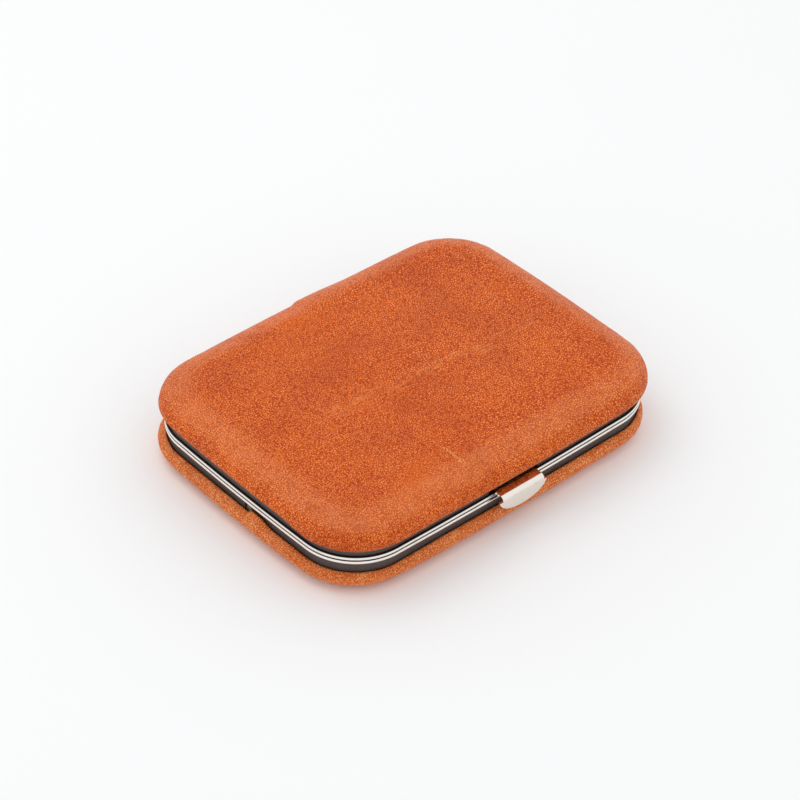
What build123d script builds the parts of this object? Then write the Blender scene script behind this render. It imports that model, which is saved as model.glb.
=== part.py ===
"""Leather covered frame case for a manicure set, with its clasp, hinge and tools.

Frame: origin on the underside at the middle of the case, +X along the case,
+Y towards the hinge, +Z up. Millimetres. The case is modelled closed.
"""
import os
from math import hypot, radians, sqrt, tan

from build123d import *

# ---------------------------------------------------------------- case outline
case_length = 105.0          # over the leather, at the middle of the short sides
case_width = 80.0            # over the leather, at the middle of the long sides
base_height = 9.4            # resting face to the parting plane
lid_height = 11.0            # parting plane to the top of the lid
corner_radius = 16.6         # outermost corner, seen from above
long_side_radius = 1600.0    # the front and back sides bow outwards
short_side_radius = 750.0    # the left and right sides bow outwards

# ---------------------------------------------------------------- case layers
base_edge_round = 5.0        # rounding of the leather from side to face
lid_edge_round = 6.6
leather_overhang = 1.3       # leather stands this far outside the rim
leather_thick = 1.0
leather_hem_gap = 3.15       # parting plane to the leather's turned edge
leather_hem_height = 1.2
leather_hem_round = 1.2
foam_thick = 1.0
channel_recess = 0.7         # channel face behind the rim face
channel_wall = 0.6
channel_room = 0.7           # channel's hidden edge stands this far off the leather
channel_butt_gap = 2.3       # the base channel's ends don't quite meet
channel_butt_place = -2.55   # on the left side, in front of the middle
shell_round = 3.2            # rounding of the stiff pans, less than the leather's
shell_wall = 0.8
lining_wall = 0.7
rim_height = 0.95
rim_round = 0.4
parting_gap = 0.2            # between the two rims
glue_gap = 0.05              # between nested layers
plate_gap = 0.03             # a flat plate's ends stand this far off the bowed front wall

# ---------------------------------------------------------------- hinge
hinge_length = 44.0
knuckle_count = 5
knuckle_gap = 0.3
knuckle_radius = 1.5
hinge_pin_radius = 0.6
hinge_pin_clearance = 0.05
hinge_leaf_thick = 0.5
hinge_leaf_drop = 2.85       # parting plane to the leaf's far edge
hinge_clearance = 0.3
hinge_pin_bevel = 0.18
hinge_pin_head = 0.35        # the pin stands this far out of its end knuckles

# ---------------------------------------------------------------- clasp
clasp_width = 13.0
clasp_sheet = 0.7
clasp_window_side = 1.2      # gap at each side of the shelf in its window
clasp_window_top = 3.3       # parting plane to the window's upper edge in the channel
clasp_window_inner_top = 4.0   # and in the shell and lining behind it
thumb_width = 14.8
thumb_drop = 3.4             # parting plane to the thumb plate's lowest point
thumb_top = 0.4              # parting plane to the plate's widest line
thumb_edge_round = 0.22
thumb_overlap = 0.6          # the bent sheet runs this far below the parting plane
thumb_reach = 3.0            # rim face to the thumb plate's outer face
shelf_level = 1.65           # parting plane to the shelf's top at the bend
shelf_slope = 5.0            # degrees, down towards the front
bend_radius = 1.2            # outside of the bend
clasp_pivot_depth = 4.8      # rim face to the pivot
clasp_barrel_radius = 0.9
clasp_pin_radius = 0.45
clasp_pin_clearance = 0.05
hook_width = 5.0
hook_sheet = 0.8
hook_drop = 4.0              # parting plane to the hook's end
hook_bite = 0.35             # barb reaches this far under the catch plate
hook_side_gap = 0.3          # each side of the hook in the catch plate's slot
hook_gap = 0.12              # between hook and the slot's catching edge
catch_level = 3.0            # parting plane to the catch plate's underside
catch_sheet = 0.6
catch_rail = 1.3             # catch plate's width beside and behind the slot
catch_side = 0.8             # plate beyond its rivet heads, at each end
catch_drop = 0.2             # rim's underside to the catch plate's upper edge
catch_height = 2.3
catch_rivet_room = 1.1       # between the flange and a rivet head
bracket_sheet = 0.6
bracket_side = 1.1           # plate beyond its rivet heads, at each end
bracket_low = 1.8            # parting plane to the bracket's lower edge
bracket_high = 5.7           # parting plane to the bracket's upper edge
bracket_rivet_room = 1.05    # between an ear and a rivet head
bracket_rivet_level = 3.6    # parting plane to the bracket's rivets
ear_thick = 0.6
ear_gap = 0.25
ear_round = 0.72
rivet_radius = 0.6
rivet_head_radius = 1.0
rivet_head_height = 0.5
rivet_clearance = 0.05
rivet_dome = 0.8             # rounding of a rivet or stud head, as a share of its height
spring_sheet = 0.3
spring_margin = 0.4          # spring inside the bracket's ends
spring_ear_gap = 0.3
spring_width = 4.0
spring_seat = 4.2            # parting plane to the lower edge of the spring's flat
spring_foot_gap = 0.3        # the foot stands off the shelf, which turns under it

# ---------------------------------------------------------------- scissors
seat_gap = 0.1               # tools lie this far off the lining
scissors_pivot = (9.0, -6.0)
blade_thick = 1.5
blade_gap = 0.1
scissors_end_room = 7.4      # lining to the points, and to the rings
blade_root_width = 6.4
blade_waist = (0.55, 0.42)   # back of the blade: share of its length, and of its root width
blade_edge_tip = 0.4         # cutting edge's share of the tip's half width
blade_tip_width = 1.0
pivot_boss_radius = 4.2
shank_width = 4.0
shank_overlap = 0.72         # shank ends this share of the ring's radius from its centre
shank_lean = 0.5             # and this share nearer the other shank
shank_root = 0.72            # shank's root, as a share of the pivot boss
ring_side = 11.4             # ring centre off the scissors' middle line
ring_radius = 10.9
ring_hole_radius = 8.2
ring_thick = 3.1
ring_round = 0.42            # as a share of the ring's width
pivot_screw_radius = 1.2
pivot_screw_clearance = 0.05
pivot_head_radius = 2.6
pivot_head_height = 0.7
pivot_head_round = 0.5       # as a share of its height
pivot_seat_gap = 0.05
pivot_slot_width = 0.5
pivot_slot_depth = 0.35

# ---------------------------------------------------------------- lid tools
file_end_room = 6.3          # lining to each end of the file
file_width = 6.0
file_thick = 1.2
file_point = 14.0            # length of the tapering tip
file_nose = 1.0
file_nose_width = 0.25       # as a share of the file's width
tang_width = 0.8             # as a share of the file's width
tang_length = 0.5            # as a share of the handle
file_handle_length = 30.0
file_handle_width = 8.0
file_handle_thick = 3.0
file_handle_corner = 0.45    # as a share of its width
file_handle_round = 0.35     # as a share of its thickness
tweezers_end_room = 7.3
tweezers_width = 8.0
tweezers_height = 3.8
tweezers_sheet = 1.1
tweezers_tip_gap = 0.3
tweezers_tip_taper = 8.0     # arms bend together over this length
tweezers_weld = 12.0         # back end's solid length
tweezers_crotch = 6.0        # between the arms, the gap's point from the back end
tweezers_back = (1.5, 10.0, 0.6)      # bevel, shoulder, and its share of the width
tweezers_nose = (22.0, 1.6, 0.35)     # taper, slant, and its share of the width
pusher_end_room = 5.3
pusher_radius = 1.8
pusher_point = 0.3
pusher_point_taper = (14.0, 24.0, 0.8)    # two lengths, and the first one's share of the radius
pusher_neck = (26.0, 14.0, 0.75)          # the same towards the spade
pusher_neck_radius = 0.9
pusher_neck_end = 9.0
pusher_spade_width = 5.0
pusher_spade_half = 7.0
pusher_spade_cut = 1.5       # taken square off its end
pusher_spade_thick = 0.9
tool_rows = (-19.0, 0.0, 19.0)     # file, tweezers and pusher, across the lid

# ---------------------------------------------------------------- straps
strap_sheet = 0.8
strap_round = 0.9            # as a share of its sheet
strap_width = 9.0
strap_clearance = 0.35
strap_foot = 3.4
strap_stud_radius = 0.9
strap_stud_height = 0.5
stud_shank = 0.5             # as a share of the stud's radius
stud_clearance = 0.02
base_strap_offset = 8.5      # from the scissors' pivot towards the tips
blade_sweep_room = 5.0       # room for the moving blade beside its strap
lid_strap_place = 14.0       # the lid strap's middle along the case

# ---------------------------------------------------------------- worked out
total_height = base_height + lid_height
half_length = case_length / 2
half_width = case_width / 2
rim_offset = -leather_overhang
channel_offset = rim_offset - channel_recess
shell_offset = channel_offset - channel_wall - glue_gap
lining_offset = shell_offset - shell_wall - glue_gap
inside_offset = lining_offset - lining_wall
foam_floor = leather_thick + glue_gap
shell_floor = foam_floor + foam_thick + glue_gap
lining_floor = shell_floor + shell_wall + glue_gap
inside_floor = lining_floor + lining_wall
rim_clear = parting_gap / 2

inside_half = half_length + inside_offset
blade_length = inside_half - scissors_end_room - scissors_pivot[0]
ring_reach = inside_half - scissors_end_room - ring_radius + scissors_pivot[0]
file_length = 2 * (inside_half - file_end_room)
tweezers_length = 2 * (inside_half - tweezers_end_room)
pusher_length = 2 * (inside_half - pusher_end_room)

rim_front = -(half_width + rim_offset)
rim_back = half_width + rim_offset
hinge_leaf_y = rim_back - channel_recess + glue_gap
hinge_axis_y = hinge_leaf_y + knuckle_radius
hinge_axis_z = base_height
inside_front = -(half_width + inside_offset)
clasp_axis_y = rim_front + clasp_pivot_depth
thumb_face_y = rim_front - thumb_reach
slope_rise = tan(radians(shelf_slope))
ear_in = clasp_width / 2 + ear_gap
ear_out = ear_in + ear_thick
bracket_rivet_x = ear_out + bracket_rivet_room + rivet_head_radius
bracket_half = bracket_rivet_x + rivet_head_radius + bracket_side
slot_half = hook_width / 2 + hook_side_gap
flange_half = slot_half + catch_rail
catch_rivet_x = flange_half + catch_rivet_room + rivet_head_radius
catch_half = catch_rivet_x + rivet_head_radius + catch_side
through = 1.0                # cutters run this far past what they cut


# ---------------------------------------------------------------- outline tools
def corner_centre():
    """Centre of the corner arc that is tangent to a long and a short side."""
    long_y = half_width - long_side_radius
    short_x = half_length - short_side_radius
    r_long = long_side_radius - corner_radius
    r_short = short_side_radius - corner_radius
    span = hypot(short_x, long_y)
    along = (r_long**2 - r_short**2 + span**2) / (2 * span)
    across = sqrt(r_long**2 - along**2)
    ux, uy = short_x / span, -long_y / span
    first = (along * ux - across * uy, long_y + along * uy + across * ux)
    second = (along * ux + across * uy, long_y + along * uy - across * ux)
    return max((first, second), key=lambda p: p[0] + p[1])


def outline(offset):
    """Face of the case outline, its sides moved out by offset."""
    cx, cy = corner_centre()
    long_y = half_width - long_side_radius
    short_x = half_length - short_side_radius

    def out_from(x0, y0, radius):
        reach = hypot(cx - x0, cy - y0)
        return (x0 + (cx - x0) / reach * radius, y0 + (cy - y0) / reach * radius)

    on_long = out_from(0, long_y, long_side_radius + offset)
    on_short = out_from(short_x, 0, short_side_radius + offset)
    mid_x, mid_y = (on_long[0] + on_short[0]) / 2 - cx, (on_long[1] + on_short[1]) / 2 - cy
    scale = (corner_radius + offset) / hypot(mid_x, mid_y)
    on_corner = (cx + mid_x * scale, cy + mid_y * scale)

    def flip(point, sx, sy):
        return (point[0] * sx, point[1] * sy)

    edges = []
    for side in (1, -1):
        long_ends = (flip(on_long, -1, side), flip(on_long, 1, side))
        short_ends = (flip(on_short, side, 1), flip(on_short, side, -1))
        edges.append(ThreePointArc(long_ends[0], (0, side * (half_width + offset)), long_ends[1]))
        edges.append(ThreePointArc(short_ends[0], (side * (half_length + offset), 0), short_ends[1]))
        for other in (1, -1):
            edges.append(ThreePointArc(*(flip(p, side, other) for p in (on_long, on_corner, on_short))))
    return make_face(edges)


def slab(offset, low, high, bottom_round=0.0, top_round=0.0):
    """Outline extruded from low to high, with its lower and upper edges rounded."""
    reach = max(high, low + bottom_round + through)
    solid = Pos(0, 0, low) * extrude(outline(offset), amount=reach - low)
    if bottom_round:
        solid = fillet(solid.edges().group_by(Axis.Z)[0], bottom_round)
    if reach > high:
        solid -= Pos(0, 0, high + total_height / 2) * Box(2 * case_length, 2 * case_width, total_height)
    if top_round:
        solid = fillet(solid.edges().group_by(Axis.Z)[-1], top_round)
    return solid


def block(x0, x1, y0, y1, z0, z1):
    """Box between two corners."""
    centre = Pos((x0 + x1) / 2, (y0 + y1) / 2, (z0 + z1) / 2)
    return centre * Box(x1 - x0, y1 - y0, z1 - z0)


def rod_x(radius, x0, x1, y, z):
    """Cylinder along X."""
    return Pos((x0 + x1) / 2, y, z) * Rot(0, 90, 0) * Cylinder(radius, x1 - x0)


def rod_y(radius, y0, y1, x, z):
    """Cylinder along Y."""
    return Pos(x, (y0 + y1) / 2, z) * Rot(90, 0, 0) * Cylinder(radius, y1 - y0)


def rod_z(radius, z0, z1, x, y):
    """Cylinder along Z."""
    return Pos(x, y, (z0 + z1) / 2) * Cylinder(radius, z1 - z0)


def strip_x(points, x0, x1, rounds=()):
    """Closed outline of (y, z) points extruded along X; rounds are (index, radius)."""
    corners = Polyline(*[(y, z) for y, z in points], close=True)
    face = make_face(corners)
    for index, radius in rounds:
        y, z = points[index]
        vertex = face.vertices().sort_by_distance((y, z, 0))[0]
        face = fillet(vertex, radius)
    return extrude(Plane.YZ.offset(x0) * face, amount=x1 - x0, dir=(1, 0, 0))


# ---------------------------------------------------------------- half case
def half_leather(height, edge_round):
    """Leather cover with its edge turned in against the channel."""
    hem_top = height - leather_hem_gap
    hem_low = hem_top - leather_hem_height
    outer = slab(0, 0, hem_top, edge_round, leather_hem_round)
    room = slab(-leather_thick, leather_thick, hem_low, edge_round - leather_thick)
    mouth = slab(channel_offset + glue_gap, hem_low - leather_thick, height)
    return outer - room - mouth


def channel_foot(edge_round):
    """Level of the channel's hidden edge, just clear of the leather's rounded inside."""
    inner_round = edge_round - leather_thick
    inside = edge_round - sqrt(inner_round**2 - (edge_round + channel_offset) ** 2)
    return inside + channel_room


def half_foam(height, edge_round):
    """Thin foam between leather and shell, open where the channel stands."""
    top = height - leather_hem_gap - leather_hem_height - glue_gap
    skin = leather_thick + glue_gap
    outer = slab(-skin, foam_floor, top, edge_round - skin)
    core = slab(shell_offset + glue_gap, foam_floor + foam_thick, height, shell_round + glue_gap)
    slot = slab(channel_offset + glue_gap, channel_foot(edge_round) - glue_gap, height)
    return outer - core - slot


def half_channel(height, edge_round):
    """Dark channel that grips the covered shell below the rim."""
    top = height - rim_clear - rim_height
    ring = slab(channel_offset, channel_foot(edge_round), top)
    return ring - slab(channel_offset - channel_wall, 0, height)


def half_shell(height):
    """Stiff pan under the foam."""
    top = height - rim_clear - rim_height
    outer = slab(shell_offset, shell_floor, top, shell_round)
    room = slab(shell_offset - shell_wall, shell_floor + shell_wall, height, shell_round - shell_wall)
    return outer - room


def half_lining(height):
    """Covered card pan inside the shell."""
    top = height - rim_clear - rim_height
    lining_round = shell_round - shell_wall - glue_gap
    outer = slab(lining_offset, lining_floor, top, lining_round)
    room = slab(inside_offset, inside_floor, height, lining_round - lining_wall)
    return outer - room


def half_rim(height):
    """Bright rounded rim that caps the channel, shell and lining."""
    top = height - rim_clear
    ring = slab(rim_offset, top - rim_height, top, rim_round, rim_round)
    return ring - slab(inside_offset, 0, height)


def half_case(height, edge_round):
    """Layers of one half by name, from the rim outwards."""
    return {
        "rim": half_rim(height),
        "channel": half_channel(height, edge_round),
        "shell": half_shell(height),
        "lining": half_lining(height),
        "foam": half_foam(height, edge_round),
        "leather": half_leather(height, edge_round),
    }


def lid_place(shape):
    """Turns a half case over and sets it on the parting plane."""
    return Pos(0, 0, total_height) * mirror(shape, about=Plane.XY)


# ---------------------------------------------------------------- cut-outs
def hinge_relief():
    """Space for the knuckles and leaves in both rims."""
    reach = hinge_length / 2 + hinge_clearance
    front = hinge_axis_y - knuckle_radius - hinge_clearance
    tall = rim_height + through
    return block(-reach, reach, front, rim_back + through, hinge_axis_z - tall, hinge_axis_z + tall)


def channel_butt():
    """Slit between the two ends of the base channel."""
    side = -(half_length + channel_offset)
    y0 = channel_butt_place - channel_butt_gap / 2
    return block(side - through, side + channel_wall + through, y0, y0 + channel_butt_gap, 0, base_height)


def clasp_window(top):
    """Window through the lid's front wall for the clasp's shelf."""
    half = clasp_width / 2 + clasp_window_side
    low = base_height + rim_clear + rim_height
    return block(-half, half, rim_front - through, inside_front + through, low, base_height + top)


def wall_seat(half):
    """Back face of a flat plate of this half width against the bowed front wall."""
    radius = long_side_radius + inside_offset
    return inside_front + radius - sqrt(radius**2 - half**2) + plate_gap


def rivet_pair(place_x, level, inner_y):
    """Two domed rivets from the middle of the shell to heads at inner_y."""
    rivets = []
    outer_y = -(half_width + shell_offset) + shell_wall / 2
    for x in (-place_x, place_x):
        shank = rod_y(rivet_radius, outer_y, inner_y, x, level)
        head = rod_y(rivet_head_radius, inner_y, inner_y + rivet_head_height, x, level)
        head = fillet(head.edges().group_by(Axis.Y)[-1], rivet_head_height * rivet_dome)
        rivets.append(shank + head)
    return Compound(children=rivets)


def rivet_holes(place_x, level):
    """Holes for a rivet pair through the front of the shell, lining and what they hold."""
    radius = rivet_radius + rivet_clearance
    near = -(half_width + shell_offset) - glue_gap / 2
    return [rod_y(radius, near, clasp_axis_y, x, level) for x in (-place_x, place_x)]


# ---------------------------------------------------------------- hinge
def knuckle_spans():
    """(start, end) of each knuckle along the hinge."""
    pitch = (hinge_length + knuckle_gap) / knuckle_count
    start = -hinge_length / 2
    return [(start + i * pitch, start + (i + 1) * pitch - knuckle_gap) for i in range(knuckle_count)]


def hinge_leaf(side):
    """Leaf with every other knuckle; side is -1 for the base and +1 for the lid."""
    clear = knuckle_radius + hinge_clearance
    near = hinge_leaf_y
    far = near + hinge_leaf_thick
    z_far = hinge_axis_z + side * hinge_leaf_drop
    z_clear = hinge_axis_z + side * clear
    half = hinge_length / 2
    leaf = block(-half, half, near, far, min(z_far, z_clear), max(z_far, z_clear))
    first = 0 if side < 0 else 1
    for x0, x1 in knuckle_spans()[first::2]:
        z_low, z_high = sorted((hinge_axis_z, z_clear))
        leaf += block(x0, x1, near, far, z_low, z_high)
        leaf += rod_x(knuckle_radius, x0, x1, hinge_axis_y, hinge_axis_z)
    bore = hinge_pin_radius + hinge_pin_clearance
    return leaf - rod_x(bore, -half - through, half + through, hinge_axis_y, hinge_axis_z)


def hinge_pin():
    reach = hinge_length / 2 + hinge_pin_head
    pin = rod_x(hinge_pin_radius, -reach, reach, hinge_axis_y, hinge_axis_z)
    return chamfer(pin.faces().filter_by(Axis.X).edges(), hinge_pin_bevel)


# ---------------------------------------------------------------- clasp
def shelf_top(y):
    """Level of the shelf's upper face at a place across the case."""
    return base_height + shelf_level + (y - thumb_face_y - bend_radius) * slope_rise


clasp_axis_z = shelf_top(clasp_axis_y) - clasp_sheet / 2


def thumb_plate():
    """Half oval plate that hangs in front of the base."""
    top = base_height + thumb_top
    drop = thumb_top + thumb_drop
    face = Ellipse(thumb_width / 2, drop) & (Pos(0, -drop) * Rectangle(2 * thumb_width, 2 * drop))
    face = Pos(0, thumb_face_y, top) * Rot(90, 0, 0) * face
    plate = extrude(face, amount=clasp_sheet, dir=(0, 1, 0))
    oval_edges = plate.edges().filter_by(lambda edge: edge.center().Z < top - drop / 4)
    return fillet(oval_edges, thumb_edge_round)


def clasp_hook():
    """Hook that hangs from the barrel, its barb pointing into the case."""
    near = clasp_axis_y - hook_sheet / 2
    far = clasp_axis_y + hook_sheet / 2
    tip = far + hook_gap + hook_bite
    low = base_height - hook_drop
    barb_top = base_height - catch_level - hook_gap
    profile = [(near, clasp_axis_z), (near, low), (far, low), (tip, barb_top - hook_bite), (tip, barb_top),
               (far, barb_top), (far, clasp_axis_z)]
    return strip_x(profile, -hook_width / 2, hook_width / 2)


def clasp_tab():
    """Shelf, bend, thumb plate, barrel and hook of one pressing."""
    outer_y = thumb_face_y
    inner_y = outer_y + clasp_sheet
    low = base_height - thumb_overlap
    profile = [
        (clasp_axis_y, shelf_top(clasp_axis_y)),
        (outer_y, shelf_top(outer_y)),
        (outer_y, low),
        (inner_y, low),
        (inner_y, shelf_top(inner_y) - clasp_sheet),
        (clasp_axis_y, shelf_top(clasp_axis_y) - clasp_sheet),
    ]
    half = clasp_width / 2
    bent = strip_x(profile, -half, half, ((1, bend_radius), (4, bend_radius - clasp_sheet)))
    barrel = rod_x(clasp_barrel_radius, -half, half, clasp_axis_y, clasp_axis_z)
    tab = bent + thumb_plate() + barrel + clasp_hook()
    bore = clasp_pin_radius + clasp_pin_clearance
    return tab - rod_x(bore, -half - through, half + through, clasp_axis_y, clasp_axis_z)


def clasp_bracket():
    """Riveted bracket inside the lid with two ears that carry the clasp's pin."""
    wall_y = wall_seat(bracket_half)
    low = base_height + bracket_low
    high = base_height + bracket_high
    window_top = base_height + clasp_window_inner_top
    bracket = block(-bracket_half, bracket_half, wall_y, wall_y + bracket_sheet, low, high)
    bracket -= block(-ear_in, ear_in, wall_y - through, wall_y + through, low - through, window_top)
    reach_y = clasp_axis_y + clasp_barrel_radius
    ear_low = clasp_axis_z - clasp_barrel_radius
    for x0, x1 in ((-ear_out, -ear_in), (ear_in, ear_out)):
        ear = block(x0, x1, wall_y, reach_y, ear_low, clasp_axis_z + clasp_barrel_radius)
        bracket += fillet(ear.edges().filter_by(Axis.X).group_by(Axis.Y)[-1], ear_round)
    bracket -= rod_x(clasp_pin_radius, -ear_out, ear_out, clasp_axis_y, clasp_axis_z)
    for hole in rivet_holes(bracket_rivet_x, base_height + bracket_rivet_level):
        bracket -= hole
    return bracket


def clasp_pin():
    return rod_x(clasp_pin_radius, -ear_out, ear_out, clasp_axis_y, clasp_axis_z)


def clasp_spring():
    """Leaf spring under the bracket's rivets, its tongue reaching down over the shelf."""
    near = wall_seat(bracket_half) + bracket_sheet
    far = near + spring_sheet
    high = base_height + bracket_high - spring_margin / 4
    seat = base_height + spring_seat
    foot_z = shelf_top(far) + spring_foot_gap
    half = bracket_half - spring_margin
    spring = block(-spring_width / 2, spring_width / 2, near, far, foot_z, seat)
    spring += block(-half, half, near, far, seat, high)
    rivet_z = base_height + bracket_rivet_level
    inner = ear_out + spring_ear_gap
    for side in (-1, 1):
        x0, x1 = sorted((side * inner, side * half))
        spring += block(x0, x1, near, far, rivet_z - rivet_head_radius, high)
    for hole in rivet_holes(bracket_rivet_x, rivet_z):
        spring -= hole
    return spring


def catch_rivet_level():
    return base_height - rim_clear - rim_height - catch_drop - catch_height / 2


def catch_plate():
    """Angle plate inside the base with a slot for the hook."""
    wall_y = wall_seat(catch_half)
    top = catch_rivet_level() + catch_height / 2
    plate = block(-catch_half, catch_half, wall_y, wall_y + catch_sheet, top - catch_height, top)
    slot_far = clasp_axis_y + hook_sheet / 2 + hook_gap
    under = base_height - catch_level
    plate += block(-flange_half, flange_half, wall_y, slot_far + catch_rail, under, under + catch_sheet)
    plate -= block(-slot_half, slot_half, wall_y + catch_sheet, slot_far, under, under + catch_sheet)
    for hole in rivet_holes(catch_rivet_x, catch_rivet_level()):
        plate -= hole
    return plate


# ---------------------------------------------------------------- scissors
def scissors_level(upper):
    """Underside of a scissors half."""
    return inside_floor + seat_gap + (blade_thick + blade_gap if upper else 0.0)


def scissors_half(upper):
    """Blade, boss, shank and finger ring, in place and closed."""
    side = 1 if upper else -1
    tip = side * blade_tip_width / 2
    blade = Polyline(
        (0, -side * blade_root_width / 2),
        (blade_length * blade_waist[0], -side * blade_root_width * blade_waist[1]),
        (blade_length, -tip),
        (blade_length, tip * blade_edge_tip),
        (0, side * blade_root_width / 2),
        close=True,
    )
    body = make_face(blade)
    body += Circle(pivot_boss_radius)
    ring_x, ring_y = -ring_reach, side * ring_side
    neck_x = -ring_reach + ring_radius * shank_overlap
    neck_y = side * (ring_side - ring_radius * shank_lean)
    near = pivot_boss_radius * shank_root
    shank = Polyline(
        (0, near),
        (neck_x, neck_y + shank_width / 2),
        (neck_x, neck_y - shank_width / 2),
        (0, -near),
        close=True,
    )
    body += make_face(shank)
    body = extrude(body, amount=blade_thick, dir=(0, 0, 1))
    body -= Pos(ring_x, ring_y) * Cylinder(ring_hole_radius, 4 * blade_thick)
    ring = Pos(ring_x, ring_y) * (Circle(ring_radius) - Circle(ring_hole_radius))
    ring = extrude(ring, amount=ring_thick)
    ring = fillet(ring.edges().filter_by(GeomType.CIRCLE), (ring_radius - ring_hole_radius) * ring_round)
    if upper:
        ring = Pos(0, 0, blade_thick - ring_thick) * ring
    part = body + ring
    part -= Cylinder(pivot_screw_radius + pivot_screw_clearance, 6 * blade_thick)
    place = Pos(scissors_pivot[0], scissors_pivot[1], scissors_level(upper))
    return place * part


def scissors_screw():
    """Slotted pivot screw through both halves."""
    x, y = scissors_pivot
    low = scissors_level(False)
    seat = scissors_level(True) + blade_thick + pivot_seat_gap
    screw = rod_z(pivot_screw_radius, low, seat, x, y)
    head = rod_z(pivot_head_radius, seat, seat + pivot_head_height, x, y)
    head = fillet(head.edges().group_by(Axis.Z)[-1], pivot_head_height * pivot_head_round)
    top = seat + pivot_head_height
    slot = block(x - pivot_head_radius, x + pivot_head_radius, y - pivot_slot_width / 2,
                 y + pivot_slot_width / 2, top - pivot_slot_depth, top)
    return screw + head - slot


# ---------------------------------------------------------------- straps
def strap(humps, x_middle):
    """Strap across the case in base orientation, lifted over each (y0, y1, height).

    Returns the strap and the places of its studs, one in each foot.
    """
    floor = inside_floor + glue_gap
    sheet = strap_sheet
    first = humps[0][0] - strap_clearance - sheet - strap_foot
    lower = [(first, floor)]
    upper = [(first, floor + sheet)]
    studs = [first + strap_foot / 2]
    for i, (y0, y1, height) in enumerate(humps):
        in0, in1 = y0 - strap_clearance, y1 + strap_clearance
        crown = height + strap_clearance
        lower += [(in0, floor), (in0, crown), (in1, crown), (in1, floor)]
        upper += [(in0 - sheet, floor + sheet), (in0 - sheet, crown + sheet)]
        upper += [(in1 + sheet, crown + sheet), (in1 + sheet, floor + sheet)]
        if i + 1 < len(humps):
            studs.append((in1 + sheet + humps[i + 1][0] - strap_clearance - sheet) / 2)
    last = humps[-1][1] + strap_clearance + sheet + strap_foot
    lower.append((last, floor))
    upper.append((last, floor + sheet))
    studs.append(last - strap_foot / 2)
    points = lower + upper[::-1]
    band = strip_x(points, x_middle - strap_width / 2, x_middle + strap_width / 2)
    crowns = [height + strap_clearance + sheet for _, _, height in humps]
    shoulders = band.edges().filter_by(Axis.X).filter_by(
        lambda edge: any(abs(edge.center().Z - crown) < 0.01 for crown in crowns)
    )
    band = fillet(shoulders, sheet * strap_round)
    for y in studs:
        band -= rod_z(strap_stud_radius * stud_shank, floor, floor + sheet, x_middle, y)
    return band, studs


def strap_studs(places, x_middle):
    """Domed studs that fix a strap to the lining, in base orientation."""
    top = inside_floor + glue_gap + strap_sheet
    made = []
    for y in places:
        radius = strap_stud_radius * stud_shank - stud_clearance
        shank = rod_z(radius, inside_floor + glue_gap / 2, top, x_middle, y)
        head = rod_z(strap_stud_radius, top, top + strap_stud_height, x_middle, y)
        head = fillet(head.edges().group_by(Axis.Z)[-1], strap_stud_height * rivet_dome)
        made.append(shank + head)
    return Compound(children=made)


# ---------------------------------------------------------------- lid tools, in base orientation
def nail_file():
    """Steel file blade with a pointed tip."""
    y, z = tool_rows[0], inside_floor + seat_gap + (file_handle_thick - file_thick) / 2
    x0, x1 = -file_length / 2, file_length / 2
    half = file_width / 2
    tang = (x0 + file_handle_length * tang_length, half * tang_width)
    upper = [tang, (x1 - file_point, half), (x1 - file_nose, half * file_nose_width), (x1, 0)]
    lower = [(px, -py) for px, py in upper[-2::-1]]
    blade = make_face(Polyline(*upper, *lower, close=True))
    return Pos(0, y, z) * extrude(blade, amount=file_thick, dir=(0, 0, 1))


def file_handle():
    """Handle moulded round the file's tang."""
    y, z = tool_rows[0], inside_floor + seat_gap
    x0 = -file_length / 2
    body = Pos(x0 + file_handle_length / 2, 0) * RectangleRounded(
        file_handle_length, file_handle_width, file_handle_width * file_handle_corner
    )
    body = extrude(body, amount=file_handle_thick)
    body = fillet(body.edges().group_by(Axis.Z)[-1], file_handle_thick * file_handle_round)
    body = fillet(body.edges().group_by(Axis.Z)[0], file_handle_thick * file_handle_round)
    return Pos(0, y, z) * body - nail_file()


def tweezers():
    """Two sprung arms joined at the back end, their tips slanted."""
    y, z = tool_rows[1], inside_floor + seat_gap
    x0, x1 = -tweezers_length / 2, tweezers_length / 2
    sheet, high = tweezers_sheet, tweezers_height
    bend, weld, gap = x1 - tweezers_tip_taper, x0 + tweezers_weld, tweezers_tip_gap / 2
    middle = high / 2
    side = [(x0, 0), (bend, 0), (x1, middle - sheet), (x1, middle - gap), (bend, sheet), (weld, sheet),
            (x0 + tweezers_crotch, middle), (weld, high - sheet), (bend, high - sheet), (x1, middle + gap),
            (x1, middle + sheet), (bend, high), (x0, high)]
    face = make_face(Polyline(*side, close=True))
    half = tweezers_width / 2
    body = extrude(Plane.XZ.offset(-half) * face, amount=tweezers_width, dir=(0, -1, 0))
    bevel, shoulder, back = tweezers_back
    taper, slant, nose = tweezers_nose
    plan = Polyline(
        (x0 + bevel, -half * back),
        (x0 + shoulder, -half),
        (x1 - taper, -half),
        (x1, -half * nose),
        (x1 - slant, half * nose),
        (x1 - taper, half),
        (x0 + shoulder, half),
        (x0 + bevel, half * back),
        close=True,
    )
    body = body & (Pos(0, 0, -high / 2) * extrude(make_face(plan), amount=2 * high, dir=(0, 0, 1)))
    return Pos(0, y, z) * body


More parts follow.
